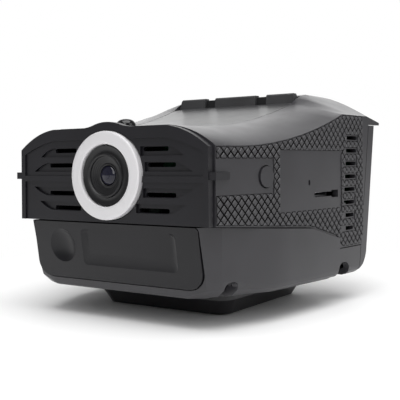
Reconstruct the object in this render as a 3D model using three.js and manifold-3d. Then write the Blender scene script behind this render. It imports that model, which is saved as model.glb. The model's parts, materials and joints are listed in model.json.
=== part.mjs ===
// Two-in-one dashboard radar detector and drive recorder, in millimetres, +Z up.
// The lens looks along -Y, the display and its keys are at the rear (+Y), and +X is the memory-card side.
// Origin: on the surface that the unit stands on, under the middle of its bounding box.
import * as THREE from "three";
import { mergeVertices } from "three/addons/utils/BufferGeometryUtils.js";
import Module from "manifold-3d";

const wasm = await Module();
wasm.setup();

// ---------------------------------------------------------------- driving dimensions
// Lengths run back from the face plate's front (y = 0). Heights are above the surface it stands on.
const plateHalf = 36; // half width of the face plate
const caseLength = 94; // from the face plate's front to the tip of the visor
const rearHalf = 48.2; // half width at the visor's tip
const frontFlare = 0.205; // how fast the side walls spread at the front, mm per mm
const lensHeight = 43.75;
const caseBottom = 8.95; // underside of the lower case
const plateBottom = 29.85;
const plateSideTop = 51.7; // where the plate's side edge meets its shoulder
const plateTop = 57.9;
const plateFlatHalf = 21.5; // half length of the plate's straight top edge
const plateThickness = 2.4;
const wall = 2; // case wall
const gap = 0.3; // between pieces that touch

const ringFront = 1.2; // how far the silver ring stands ahead of the plate
const ringOuter = 13.15;
const ringInner = 9.2;
const ringThickness = 2.2;
const barrelRadius = 6.5;
const barrelDepth = 12;
const glassRadius = 3.3;
const humpMargin = 2.65; // plate left above the ring

const rampFlatEnd = 12; // the top panel is level up to here, then rises
const rampHeight = 58.15;
const rampRise = 0.0029; // mm of rise per mm squared
const seamFrontHalf = 20.5;
const seamRearHalf = 25.8;
const panelThickness = 1.6;
const ledgeWidth = 2.4;
const rimY = 72.6;
const rimDepth = 3.2;
const rimTop = 72;
const rimHalf = 24.2; // half length of the rim's top edge
const rimSlant = 1.2; // how much further out its foot reaches at each end
const notchCentre = 11.1;
const notchWidth = 4.6;

const creaseFront = 51.95; // where the side wall turns into the shoulder
const creaseRear = 63.1;
const hoodTop = 71.8;
const hoodFrontY = 68; // the top starts to lift into the hood here
const hoodRearY = 80; // and has its full height from here back
const creaseTopY = 66; // the crease stops rising here
const visorDrop = 1.9;
const rearPlaneY = 87; // the rear face at lens height
const rearLean = THREE.MathUtils.degToRad(9); // its top leans back
const bezelDepth = 4.2;
const bezelTop = 60;
const rearBottomRadius = 10;

const partingFront = 29.8; // height of the joint between the cases at the front
const partingMiddle = 26.75;
const partingMiddleY = 46.3;
const partingStep = 22.4;
const partingStepY = 62.7;
const partingRear = 18.7;
const lowerFrontHalf = 32;
const lowerFrontTopY = 1;
const lowerFrontBottomY = 4.4;
const lowerCornerHalf = 35.3;
const lowerCornerY = 7.5;
const lowerJoinY = 26; // from here back the lower wall follows the upper one
const cornerStart = 25; // half width at which the front's bottom corners start to round
const bottomRoundFront = 1.2;
const bottomRoundCorner = 5.5;
const bottomRoundSide = 2.8;
const sidePanelRaise = 0.7;
const panelCorner = 7; // lower rear corner of the raised side panel

const windowTop = 29.4; // radar window in the lower front
const windowBottom = 11.75;
const windowHalf = 31.6;
const windowThickness = 2;
const windowCorner = 5;
const windowRecess = 0.9;
const recessBevel = 2; // its sides slope in this far
const recessFade = 3.4; // and its lower edge this far
const recessLeft = -12;
const recessRight = 23.6;
const recessTop = 27.4;
const recessBottom = 16.3;
const dimpleX = -20.1;
const dimpleZ = 21.95;
const dimpleRadius = 5.3;

const ventCount = 8;
const ventPitch = 4.335;
const ventTop = 55.3; // height of the highest vent
const ventY = 72.5; // its distance back
const ventLean = 0.108;
const ventLength = 7.2;
const ventWidth = 1.3;

const cardSlotY = 48.4;
const cardSlotLength = 14.4;
const cardSlotHeight = 1.5;
const cardNotchLength = 4.2;
const cardNotchHeight = 2.4;
const cardSlotZ = 36.9;
const pinholeY = 45.6;
const pinholeZ = 40.75;
const pinholeWidth = 1;
const jackY = 40;
const jackWidth = 8;
const jackHeight = 3.6;

const keyCount = 3;
const keyLength = 10.4;
const keyGap = 1;
const keyWidth = 8;
const keyEdge = 2.2; // from the key to the side of the bezel
const keyRoomDepth = 14; // the key boards reach this far in front of the rear face
const keyProud = 1;
const keyTravel = 0.5;
const keyTop = 52.6;
const keyFlange = 0.8;
const paneHalf = 32;
const paneHeight = 42;
const paneCentre = 35.6;
const paneThickness = 1.4;
const lcdMargin = 1.5;
const lcdThickness = 2.6;

const buttonY = 9.2;
const buttonRadius = 3;
const buttonProud = 2.7;
const buttonTravel = 0.8;

const screwHeadRadius = 2.1;
const screwHeadHeight = 1.5;
const screwShankRadius = 1.2;
const wellRadius = 2.6;
const bossRadius = 3.7;
const caseScrewFrontY = 11.3;
const caseScrewRearY = 66.5;
const caseScrewInset = 5; // from the outside of the wall to the screw's axis
const caseScrewLength = 14;
const frontScoopHalf = 2.3; // half widths of the hollows in the side that let a driver reach the screws
const rearScoopHalf = 3.4;
const scoopDrop = 0.4;

const baseHalfX = 23.6;
const baseFrontY = 26.6;
const baseRearY = 75.6;
const baseSpread = 2.6; // how far the plinth's top reaches out past its foot
const baseCorner = 4.5;
const padThickness = 1;
const baseScrewInset = 8;
const baseScrewLength = 9;

const boardThickness = 1.6;
const visorStart = 84;
const plateShoulderX = 29;
const plateBorder = 1.7;
const fieldTop = 54.45;
const fieldDepth = 0.5;
const bandTop = 43.6;
const bandBottom = 41.8;
const louvreSlot = 1.3;
const louvreSweep = 1.9;
const louvreDepth = 0.8;
const tabProud = 2.3;
const tabEnd = 7.3;
const tabZ = 43.6;
const tabHeight = 2.1;
const frontWallDepth = 4.3;
const dimpleDepth = 1.5;
const paneBorder = 3;
const plugY = 23.7;
const plugZ = 43.05;
const plugRadius = 3.1;
const plugStem = 1.8;
const plugProud = 0.5;
const jackZ = 38.2;
const bossHigh = 33.5;
const mainBoardHalf = 33;
const hornLeft = -10.5;
const hornRight = 22;
const hornLow = 16.8;
const hornHigh = 27.2;
const hornFront = 9.4;
const hornLength = 30;
const speakerY = 60;
const speakerZ = 46;
const baseLip = 0.4;
const baseSpreadTop = 5.2;
const padInset = 2.2;
const planSteps = 8;
const lowerFormTop = 42;
const far = 90; // past the end of everything
const mainBoardTop = 35.7;

// ---------------------------------------------------------------- worked out from the above
const flareEase = (plateHalf + frontFlare * caseLength - rearHalf) / caseLength ** 2;
const wallX = (y) => plateHalf + frontFlare * y - flareEase * y * y;
const caseFrontY = plateThickness + gap;
const rampZ = (y) => rampHeight + rampRise * Math.max(0, y - rampFlatEnd) ** 2;
const seamX = (y) => seamFrontHalf + ((seamRearHalf - seamFrontHalf) * y) / rimY;
const rearY = (z) => rearPlaneY + (z - lensHeight) * Math.tan(rearLean);
const middleY = (caseLength - ringFront) / 2; // the bounding box's middle
const smooth = (t) => THREE.MathUtils.smoothstep(t, 0, 1);

// ---------------------------------------------------------------- helpers
const v2 = (x, y) => new THREE.Vector2(x, y);
const v3 = (x, y, z) => new THREE.Vector3(x, y, z);

function solid(geometry) {
  const g = geometry.clone();
  g.deleteAttribute("normal");
  g.deleteAttribute("uv");
  const merged = mergeVertices(g, 1e-4);
  return new wasm.Manifold(
    new wasm.Mesh({
      numProp: 3,
      vertProperties: new Float32Array(merged.attributes.position.array),
      triVerts: new Uint32Array(merged.index.array),
    }),
  );
}

function geometryOf(manifold) {
  const m = manifold.getMesh();
  const g = new THREE.BufferGeometry();
  const positions = new Float32Array(m.numVert * 3);
  for (let i = 0; i < m.numVert; i++) {
    positions.set(m.vertProperties.subarray(i * m.numProp, i * m.numProp + 3), i * 3);
  }
  g.setAttribute("position", new THREE.BufferAttribute(positions, 3));
  g.setIndex(new THREE.BufferAttribute(new Uint32Array(m.triVerts), 1));
  g.computeVertexNormals();
  return g;
}

// A shape drawn in (x, y), (x, z) or (y, z), extruded between two places on the third axis.
function extrude(shape, from, to, basis, origin, options) {
  const g = new THREE.ExtrudeGeometry(shape, {
    depth: to - from,
    bevelEnabled: false,
    curveSegments: 10,
    ...options,
  });
  g.applyMatrix4(new THREE.Matrix4().makeBasis(...basis).setPosition(origin));
  return solid(g);
}
const X = v3(1, 0, 0);
const Y = v3(0, 1, 0);
const Z = v3(0, 0, 1);
const alongX = (shape, from, to, options) => extrude(shape, from, to, [Y, Z, X], v3(from, 0, 0), options);
const alongY = (shape, from, to, options) =>
  extrude(shape, from, to, [X, Z, v3(0, -1, 0)], v3(0, to, 0), options);
const alongZ = (shape, from, to, options) => extrude(shape, from, to, [X, Y, Z], v3(0, 0, from), options);

function box(x0, x1, y0, y1, z0, z1) {
  const g = new THREE.BoxGeometry(x1 - x0, y1 - y0, z1 - z0);
  return solid(g.translate((x0 + x1) / 2, (y0 + y1) / 2, (z0 + z1) / 2));
}

const polygon = (points) => new THREE.Shape(points.map(([x, y]) => v2(x, y)));

function circle(x, y, radius) {
  return new THREE.Shape().absarc(x, y, radius, 0, Math.PI * 2);
}

function roundedRect(x0, x1, y0, y1, radius) {
  const s = new THREE.Shape();
  s.absarc(x1 - radius, y0 + radius, radius, -Math.PI / 2, 0);
  s.absarc(x1 - radius, y1 - radius, radius, 0, Math.PI / 2);
  s.absarc(x0 + radius, y1 - radius, radius, Math.PI / 2, Math.PI);
  s.absarc(x0 + radius, y0 + radius, radius, Math.PI, Math.PI * 1.5);
  return s;
}

// A profile of [radius, distance] pairs turned about an axis along Y or Z.
function lathe(profile, segments = 48) {
  return new THREE.LatheGeometry(profile.map(([r, h]) => v2(r, h)), segments);
}
const latheZ = (profile, x, y, z, segments) =>
  solid(lathe(profile, segments).rotateX(Math.PI / 2).translate(x, y, z));
const latheY = (profile, x, y, z, segments) => solid(lathe(profile, segments).translate(x, y, z));

// Closed rings of the same count, skinned one to the next and capped at both ends.
function loft(rings, flatten) {
  const count = rings[0].length;
  const positions = rings.flat().flatMap((p) => [p.x, p.y, p.z]);
  const index = [];
  for (let i = 0; i + 1 < rings.length; i++) {
    for (let j = 0; j < count; j++) {
      const a = i * count + j;
      const b = i * count + ((j + 1) % count);
      index.push(a, b, b + count, a, b + count, a + count);
    }
  }
  const first = THREE.ShapeUtils.triangulateShape(rings[0].map(flatten), []);
  const last = THREE.ShapeUtils.triangulateShape(rings.at(-1).map(flatten), []);
  const end = (rings.length - 1) * count;
  first.forEach(([a, b, c]) => index.push(a, c, b));
  last.forEach(([a, b, c]) => index.push(end + a, end + b, end + c));
  const g = new THREE.BufferGeometry();
  g.setAttribute("position", new THREE.Float32BufferAttribute(positions, 3));
  g.setIndex(index);
  return g;
}

// A closed outline moved inwards, corner by corner, by a distance given for each point.
function inset(points, distanceAt) {
  const count = points.length;
  return points.map((p, i) => {
    const before = points[(i + count - 1) % count];
    const after = points[(i + 1) % count];
    const a = p.clone().sub(before).normalize();
    const b = after.clone().sub(p).normalize();
    const normal = v2(-(a.y + b.y), a.x + b.x).normalize();
    const reach = distanceAt(p) / Math.max(0.5, normal.dot(v2(-a.y, a.x)));
    return p.clone().add(normal.multiplyScalar(reach));
  });
}

// The other half of an outline that starts on the right, from its far end back.
const mirrored = (right) => right.map((p) => v2(-p.x, p.y)).reverse();

const part = new THREE.Group();
part.name = "radar_detector";
const body = new THREE.Group();
body.position.set(0, -middleY, 0);
part.add(body);

const plastic = (color, roughness) => new THREE.MeshStandardMaterial({ color, roughness, metalness: 0 });
const metal = (color, roughness) => new THREE.MeshStandardMaterial({ color, roughness, metalness: 1 });

function place(name, manifold, material, parent = body) {
  const mesh = new THREE.Mesh(geometryOf(manifold), material);
  mesh.name = name;
  parent.add(mesh);
  return mesh;
}

// ---------------------------------------------------------------- outer forms
// One cross-section of the upper case: up the side wall to the crease, over the shoulder to the top panel.
const shoulderSteps = 8;

function creaseZ(y) {
  const rise = THREE.MathUtils.clamp((y - rampFlatEnd) / (creaseTopY - rampFlatEnd), 0, 1) ** 1.8;
  const overVisor = Math.max(0, y - visorStart) / (caseLength - visorStart);
  return THREE.MathUtils.lerp(creaseFront, creaseRear, rise) - visorDrop * overVisor;
}

// The curve of the shoulder from the crease to the top panel's edge, at a few distances back:
// how far its first handle rises, how far out its second handle lies, and that handle's height over the edge.
const shoulderKeys = [
  { y: 0, firstRise: 0.38, secondOut: 0.5, secondOver: -0.7 },
  { y: 50, firstRise: 0.17, secondOut: 0.34, secondOver: 0.7 },
  { y: 70, firstRise: 0.1, secondOut: 0.3, secondOver: 0.1 },
  { y: hoodRearY, firstRise: 0.05, secondOut: 0.27, secondOver: -2.4 },
  { y: caseLength, firstRise: 0.17, secondOut: 0.39, secondOver: -1.75 },
];

function shoulderAt(y, field) {
  const next = Math.max(1, shoulderKeys.findIndex((key) => key.y >= y));
  const [a, b] = [shoulderKeys[next - 1], shoulderKeys[next]];
  return THREE.MathUtils.mapLinear(y, a.y, b.y, a[field], b[field]);
}

function topSection(y, bottom) {
  const seam = seamX(Math.min(y, rimY));
  const side = wallX(y);
  const crease = creaseZ(y);
  const hood = smooth((y - hoodFrontY) / (hoodRearY - hoodFrontY));
  const edge = THREE.MathUtils.lerp(rampZ(Math.min(y, rimY)), hoodTop, hood);
  const shoulder = new THREE.CubicBezierCurve(
    v2(side, crease),
    v2(side - (side - seam) * 0.17, THREE.MathUtils.lerp(crease, edge, shoulderAt(y, "firstRise"))),
    v2(THREE.MathUtils.lerp(seam, side, shoulderAt(y, "secondOut")), edge + shoulderAt(y, "secondOver")),
    v2(seam, edge),
  ).getPoints(shoulderSteps);
  const right = [v2(side, bottom), ...shoulder];
  return [...right, ...mirrored(right)];
}

const stations = [caseFrontY, 8, 14, 20, 27, 34, 42, 50, 56, 61, 66, hoodFrontY + 1, rimY, 76, hoodRearY];
stations.push(visorStart, 90, caseLength);

function topLoft(depth, bottom) {
  const rings = stations.map((y) => {
    const outline = depth ? inset(topSection(y, bottom), () => depth) : topSection(y, bottom);
    const end = depth && y === caseFrontY ? y - 1 : y;
    return outline.map((p) => v3(p.x, depth && y === caseLength ? y + 1 : end, p.y)).reverse();
  });
  return solid(loft(rings, (p) => v2(-p.x, p.z)));
}

// The plan outline of the lower case: narrow front corners, then the same side walls as the upper case.
const lowerFrontY = (z) =>
  THREE.MathUtils.mapLinear(z, partingFront, caseBottom, lowerFrontTopY, lowerFrontBottomY);

const lowerWallX = (y) =>
  y < lowerJoinY
    ? THREE.MathUtils.mapLinear(y, lowerCornerY, lowerJoinY, lowerCornerHalf, wallX(lowerJoinY))
    : wallX(y);

function lowerPlan(frontY, raise) {
  const right = [cornerStart, (cornerStart + lowerFrontHalf) / 2, lowerFrontHalf].map((x) => v2(x, frontY));
  const betweenY = (lowerCornerY + lowerJoinY) / 2;
  right.push(v2(lowerCornerHalf, lowerCornerY), v2(lowerWallX(betweenY), betweenY));
  for (let i = 0; i <= planSteps; i++) {
    const y = THREE.MathUtils.lerp(lowerJoinY, caseLength, i / planSteps);
    right.push(v2(wallX(y) + raise, y));
  }
  return [...right, ...mirrored(right)];
}

// The radius of the bottom edge: small along the front, large at its corners, then easing off down the sides.
function bottomRound(p) {
  const across = smooth((Math.abs(p.x) - cornerStart) / (lowerFrontHalf - cornerStart));
  const back = smooth((p.y - lowerCornerY) / (lowerJoinY - lowerCornerY));
  const atFront = THREE.MathUtils.lerp(bottomRoundFront, bottomRoundCorner, across);
  return THREE.MathUtils.lerp(atFront, bottomRoundSide, back);
}

function lowerLoft(raise, depth) {
  const rings = [0, 1, 2, 3].map((step) => {
    const angle = (step * Math.PI) / 6;
    const round = (p) => Math.max(wall / 2, bottomRound(p) - depth);
    const height = (p) => caseBottom + depth + round(p) * (1 - Math.cos(angle));
    const plan = lowerPlan(lowerFrontY(caseBottom), raise);
    const points = inset(plan, (p) => depth + round(p) * (1 - Math.sin(angle)));
    return points.map((p, i) => v3(p.x, p.y, height(plan[i])));
  });
  for (const level of [partingFront, lowerFormTop]) {
    const plan = lowerPlan(lowerFrontY(Math.min(level, partingFront)), raise);
    rings.push(inset(plan, () => depth).map((p) => v3(p.x, p.y, level)));
  }
  return solid(loft(rings, (p) => v2(p.x, p.y)));
}

// All that lies ahead of the leaning rear face, with the rounded lower rear corner.
function aheadOfRear(depth) {
  const radius = rearBottomRadius - depth;
  const centreZ = caseBottom + rearBottomRadius;
  const centreY = rearY(centreZ) - rearBottomRadius;
  const s = new THREE.Shape();
  s.moveTo(-far, centreZ - radius);
  s.lineTo(centreY, centreZ - radius);
  s.absarc(centreY, centreZ, radius, -Math.PI / 2, 0);
  s.lineTo(rearY(rimTop) - depth, rimTop);
  s.lineTo(rearY(rimTop) - depth, rimTop + far);
  s.lineTo(-far, rimTop + far);
  return alongX(s, -far, far);
}

// All that lies behind a plane parallel to the rear face, up to a height.
function behindRear(back, top) {
  return alongX(
    polygon([
      [rearY(-far) + back, -far],
      [far * 2, -far],
      [far * 2, top],
      [rearY(top) + back, top],
    ]),
    -far,
    far,
  );
}

// The side profile above (limit over) or below the joint between the two cases.
function partingPrism(offset, limit) {
  const points = [
    [-far, partingFront + offset],
    [caseFrontY, partingFront + offset],
    [partingMiddleY, partingMiddle + offset],
    [partingStepY, partingStep + offset],
    [partingStepY + 1.4, partingRear + offset],
    [far * 2, partingRear + offset],
    [far * 2, limit],
    [-far, limit],
  ];
  return alongX(polygon(limit > partingFront ? points : points.reverse()), -far, far);
}

// ---------------------------------------------------------------- what joins the cases
const wellTop = caseBottom + 5.2;
const bossSplit = partingRear - 1.5;
const caseScrews = [caseScrewFrontY, caseScrewRearY].flatMap((y) =>
  [1, -1].map((side) => [side * (lowerWallX(y) - caseScrewInset), y]),
);
const baseScrews = [baseFrontY + baseScrewInset, baseRearY - baseScrewInset].flatMap((y) =>
  [1, -1].map((side) => [side * (baseHalfX - baseScrewInset), y]),
);
const holeRadius = screwShankRadius + gap;
const rod = (x, y, radius, z0, z1) => alongZ(circle(x, y, radius), z0, z1, { curveSegments: 12 });

function screw(x, y, headZ, length) {
  return latheZ(
    [
      [0, headZ],
      [screwHeadRadius * 0.86, headZ],
      [screwHeadRadius, headZ + 0.3],
      [screwHeadRadius, headZ + screwHeadHeight],
      [screwShankRadius, headZ + screwHeadHeight],
      [screwShankRadius, headZ + length - 1],
      [0, headZ + length],
    ],
    x,
    y,
    0,
    20,
  );
}

// ---------------------------------------------------------------- upper case
const rampEnd = rimY + rimDepth + gap;

function rampPlan(margin, frontY) {
  const rear = rampEnd + Math.min(margin, 0);
  const half = (y) => seamX(Math.min(y, rimY)) + margin;
  return polygon([
    [-half(frontY), frontY],
    [half(frontY), frontY],
    [half(rear), rear],
    [-half(rear), rear],
  ]);
}

// The band between two depths from the top panel's surface, as a side profile.
function rampBand(above, below, from, to) {
  const places = Array.from({ length: 13 }, (_, i) => THREE.MathUtils.lerp(from, to, i / 12));
  const level = (y, offset) => [y, rampZ(Math.min(y, rimY)) + offset];
  return polygon([...places.map((y) => level(y, below)), ...places.map((y) => level(y, above)).reverse()]);
}

const bandBlock = (above, below, from, to) => alongX(rampBand(above, below, from, to), -far, far);
const planBlock = (margin, frontY) => alongZ(rampPlan(margin, frontY), 0, rimTop + 2);

function ventSlots() {
  const slots = [];
  for (let i = 0; i < ventCount; i++) {
    const z = ventTop - i * ventPitch;
    const y = ventY + (z - ventTop) * ventLean;
    const halfLength = ventLength / 2;
    const halfWidth = ventWidth / 2;
    const shape = roundedRect(y - halfLength, y + halfLength, z - halfWidth, z + halfWidth, 0.5);
    slots.push(alongX(shape, -far, far, { curveSegments: 2 }));
  }
  return wasm.Manifold.union(slots);
}

// The openings in the memory-card side and the power side.
function sideOpenings() {
  const out = wallX(cardSlotY) + 8;
  const deep = wallX(cardSlotY) - 8;
  const slot = alongX(
    roundedRect(
      cardSlotY,
      cardSlotY + cardSlotLength,
      cardSlotZ - cardSlotHeight / 2,
      cardSlotZ + cardSlotHeight / 2,
      0.4,
    ),
    deep,
    out,
    { curveSegments: 2 },
  );
  const notchY = cardSlotY + cardSlotLength - cardNotchLength;
  const notchZ = cardSlotZ - cardNotchHeight / 2;
  const notch = box(deep, out, notchY, notchY + cardNotchLength, notchZ, notchZ + cardNotchHeight);
  const pinhole = alongX(
    roundedRect(
      pinholeY - pinholeWidth / 2,
      pinholeY + pinholeWidth / 2,
      pinholeZ - pinholeWidth * 0.9,
      pinholeZ + pinholeWidth * 0.9,
      pinholeWidth * 0.49,
    ),
    deep,
    out,
    { curveSegments: 3 },
  );
  const jack = box(
    -out,
    -deep,
    jackY - jackWidth / 2,
    jackY + jackWidth / 2,
    jackZ - jackHeight / 2,
    jackZ + jackHeight / 2,
  );
  return slot.add(notch).add(pinhole).add(jack);
}

// A short round seat turned to face straight out of the side wall.
function onSideWall(side, y, z, make) {
  const heading = Math.atan(frontFlare - 2 * flareEase * y);
  const frame = new THREE.Matrix4().makeRotationZ(side > 0 ? -heading : Math.PI + heading);
  frame.setPosition(side * wallX(y), y, z);
  return solid(make().applyMatrix4(frame));
}
const disc = (radius, from, to) => () =>
  new THREE.CylinderGeometry(radius, radius, to - from, 28)
    .rotateZ(-Math.PI / 2)
    .translate((from + to) / 2, 0, 0);

function upperCase() {
  const low = partingRear - 6;
  const form = topLoft(0, low);
  const cavity = topLoft(wall, low - wall - 1);
  let shell = form.subtract(cavity);
  const seat = panelThickness + gap;
  const ledgeFront = caseFrontY + ledgeWidth;
  shell = shell.subtract(bandBlock(far, -seat, -far, rampEnd).intersect(planBlock(0, -far)));
  const underLedge = bandBlock(far, -seat - 6, -far, rampEnd - ledgeWidth);
  shell = shell.subtract(underLedge.intersect(planBlock(-ledgeWidth, ledgeFront)));
  const frame = planBlock(wall / 2, caseFrontY).subtract(planBlock(-ledgeWidth, ledgeFront));
  shell = shell.add(bandBlock(-seat, -seat - wall, caseFrontY, rampEnd).intersect(frame));
  shell = shell.subtract(ventSlots()).subtract(sideOpenings());
  const columns = wasm.Manifold.union(
    caseScrews.map(([x, y]) => rod(x, y, bossRadius, bossSplit + gap, bossHigh)),
  );
  const webs = wasm.Manifold.union(
    caseScrews.map(([x, y]) =>
      box(Math.min(x, x * 2), Math.max(x, x * 2), y - 1.2, y + 1.2, bossSplit, bossHigh),
    ),
  );
  shell = shell.add(columns.add(webs).intersect(form)).intersect(partingPrism(0, rimTop + far));
  shell = shell.add(columns.intersect(lowerLoft(0, wall + gap)));
  for (const [x, y] of caseScrews) {
    shell = shell.subtract(rod(x, y, holeRadius, bossSplit - 1, wellTop + caseScrewLength));
  }
  for (const side of [1, -1]) {
    shell = shell.subtract(onSideWall(side, plugY, plugZ, disc(plugRadius + gap, -1, 2)));
    shell = shell.subtract(onSideWall(side, plugY, plugZ, disc(plugStem + gap, -wall - 2, 2)));
  }
  return shell.subtract(behindRear(-bezelDepth - gap, bezelTop + gap));
}

const caseGrey = plastic(0x4a494e, 0.5);
place("upper_case", upperCase(), caseGrey);

// ---------------------------------------------------------------- top panel with its rim, and its button
const satinGrey = plastic(0x55545a, 0.38);

function topPanel() {
  let panel = bandBlock(0, -panelThickness, caseFrontY, rampEnd - gap).intersect(planBlock(-gap, caseFrontY));
  const foot = rampZ(rimY) - panelThickness / 2;
  const segments = [
    [-rimHalf, -notchCentre - notchWidth / 2],
    [-notchCentre + notchWidth / 2, notchCentre - notchWidth / 2],
    [notchCentre + notchWidth / 2, rimHalf],
  ];
  for (const [x0, x1] of segments) {
    const profile = polygon([
      [rimY, foot],
      [rimY + rimDepth, foot],
      [rimY + rimDepth, rimTop],
      [rimY + 0.8, rimTop],
      [rimY + 0.3, rimTop - 0.5],
    ]);
    const ends = polygon([
      [x0 === -rimHalf ? x0 - rimSlant : x0, foot],
      [x1 === rimHalf ? x1 + rimSlant : x1, foot],
      [x1, rimTop],
      [x0, rimTop],
    ]);
    panel = panel.add(alongX(profile, -far, far).intersect(alongY(ends, 0, far)));
  }
  return panel.subtract(rod(0, buttonY, buttonRadius + gap, 0, rimTop));
}
place("top_panel", topPanel(), satinGrey);

const panelUnder = rampZ(buttonY) - panelThickness;
place(
  "top_button",
  latheZ(
    [
      [0, panelUnder - 2.1],
      [1.5, panelUnder - 2.1],
      [1.5, panelUnder - 1.3],
      [buttonRadius + 1, panelUnder - 1.3],
      [buttonRadius + 1, panelUnder - gap],
      [buttonRadius, panelUnder - gap],
      [buttonRadius, rampZ(buttonY) + buttonProud * 0.45],
      [buttonRadius * 0.86, rampZ(buttonY) + buttonProud * 0.75],
      [buttonRadius * 0.5, rampZ(buttonY) + buttonProud * 0.95],
      [0, rampZ(buttonY) + buttonProud],
    ],
    0,
    buttonY,
    0,
    32,
  ),
  plastic(0x111013, 0.35),
);

// ---------------------------------------------------------------- face plate and lens
const plateGrey = plastic(0x302f34, 0.5);
const humpRadius = ringOuter + humpMargin;

function plateOutline() {
  const s = new THREE.Shape();
  const humpFoot = Math.sqrt(humpRadius ** 2 - (plateTop - lensHeight) ** 2);
  const angle = Math.asin((humpFoot * 0.8) / humpRadius);
  s.moveTo(-plateHalf, plateBottom);
  s.lineTo(plateHalf, plateBottom);
  s.lineTo(plateHalf, plateSideTop);
  s.quadraticCurveTo(plateShoulderX, plateTop - 0.7, plateFlatHalf, plateTop);
  s.lineTo(humpFoot * 1.45, plateTop);
  const humpEnd = v2(humpRadius * Math.sin(angle), lensHeight + humpRadius * Math.cos(angle));
  s.quadraticCurveTo(humpFoot * 1.12, plateTop, humpEnd.x, humpEnd.y);
  s.absarc(0, lensHeight, humpRadius, Math.PI / 2 - angle, Math.PI / 2 + angle);
  s.quadraticCurveTo(-humpFoot * 1.12, plateTop, -humpFoot * 1.45, plateTop);
  s.lineTo(-plateFlatHalf, plateTop);
  s.quadraticCurveTo(-plateShoulderX, plateTop - 0.7, -plateHalf, plateSideTop);
  return s;
}

// The field inside the plate's border, cut back a little, with the level band left standing.
function plateField() {
  const side = plateHalf - plateBorder;
  const s = new THREE.Shape();
  s.moveTo(-side, plateBottom - 1);
  s.lineTo(side, plateBottom - 1);
  s.lineTo(side, plateSideTop - 1.5);
  s.quadraticCurveTo(plateShoulderX - 1.5, fieldTop - 0.8, plateFlatHalf - 1, fieldTop);
  s.lineTo(-plateFlatHalf + 1, fieldTop);
  s.quadraticCurveTo(-plateShoulderX + 1.5, fieldTop - 0.8, -side, plateSideTop - 1.5);
  return alongY(s, -1, fieldDepth);
}

// Four louvres a side: [inner end, outer end, tip, height, which way the recess opens].
const louvres = [
  [13, 21.9, 27.6, 51.3, 1],
  [14.6, 24.4, 30.5, 46.8, 1],
  [13.9, 24.4, 30.7, 38.25, -1],
  [11.3, 22.1, 28.1, 33.75, -1],
];

function louvreCut(side, [inner, outer, tip, height, away]) {
  const half = louvreSlot / 2;
  const slot = roundedRect(inner, outer, height - half, height + half, half * 0.8);
  const edge = height + away * (half + 0.15);
  const back = height - away * louvreSweep;
  const leaf = new THREE.Shape();
  leaf.moveTo(inner - 0.6, back);
  leaf.lineTo(tip, back);
  leaf.quadraticCurveTo(outer + 2.4, edge, outer - 0.5, edge);
  leaf.lineTo(inner - 0.6, edge);
  const cut = alongY(slot, -1, plateThickness + 1, { curveSegments: 4 });
  const recess = alongY(leaf, -1, fieldDepth + louvreDepth, { curveSegments: 6 });
  const both = cut.add(recess);
  return side > 0 ? both : both.mirror([1, 0, 0]);
}

// A tab on each side of the plate that laps over the case wall.
function plateTab(side) {
  const over = (y, rise) => [wallX(y) + rise, y];
  const points = [
    [plateHalf - 0.5, 0.2],
    [plateHalf + tabProud, 0.2],
    over(tabEnd, gap + 0.5),
    over(tabEnd, gap),
    over(caseFrontY, gap),
    [plateHalf - 0.5, plateThickness],
  ];
  const tab = alongZ(polygon(points), tabZ - tabHeight / 2, tabZ + tabHeight / 2);
  return side > 0 ? tab : tab.mirror([1, 0, 0]);
}

function facePlate() {
  let plate = alongY(plateOutline(), 0, plateThickness, { curveSegments: 16 });
  const band = box(-far, far, -2, plateThickness, bandBottom, bandTop);
  plate = plate.subtract(plateField().subtract(band));
  for (const side of [1, -1]) {
    for (const louvre of louvres) {
      plate = plate.subtract(louvreCut(side, louvre));
    }
    plate = plate.add(plateTab(side));
  }
  const opening = circle(0, lensHeight, ringOuter + gap);
  return plate.subtract(alongY(opening, -1, plateThickness + 1, { curveSegments: 32 }));
}
place("face_plate", facePlate(), plateGrey);

place(
  "lens_ring",
  latheY(
    [
      [ringInner, -ringFront],
      [ringOuter - 0.3, -ringFront],
      [ringOuter, -ringFront + 0.3],
      [ringOuter, ringThickness - ringFront],
      [ringInner, ringThickness - ringFront],
      [ringInner, -ringFront],
    ],
    0,
    0,
    lensHeight,
    64,
  ),
  metal(0xd6d5d4, 0.35),
);

const ringBack = ringThickness - ringFront + gap;
const boreRadius = glassRadius + gap;
const barrelFlange = Math.min(ringOuter - 0.4, lensHeight - windowTop - gap - 0.1);
place(
  "lens_barrel",
  latheY(
    [
      [barrelRadius - 0.6, -ringFront],
      [barrelRadius, -ringFront],
      [barrelRadius + 0.3, ringBack * 0.4],
      [ringInner - gap, -ringFront * 0.4],
      [ringInner - gap, ringBack],
      [barrelFlange, ringBack],
      [barrelFlange, plateThickness],
      [barrelRadius - gap, plateThickness],
      [barrelRadius - gap, barrelDepth],
      [boreRadius, barrelDepth],
      [boreRadius, ringFront],
      [barrelRadius - 0.6, -ringFront],
    ],
    0,
    0,
    lensHeight,
    48,
  ),
  plastic(0x141316, 0.4),
);
place(
  "lens_glass",
  latheY(
    [
      [0, -0.1],
      [glassRadius * 0.5, 0.1],
      [glassRadius * 0.85, 0.7],
      [glassRadius, 1.3],
      [glassRadius, 4.5],
      [0, 4.5],
    ],
    0,
    0,
    lensHeight,
    32,
  ),
  new THREE.MeshStandardMaterial({ color: 0x0d0d14, roughness: 0.05, metalness: 0 }),
);

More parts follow.
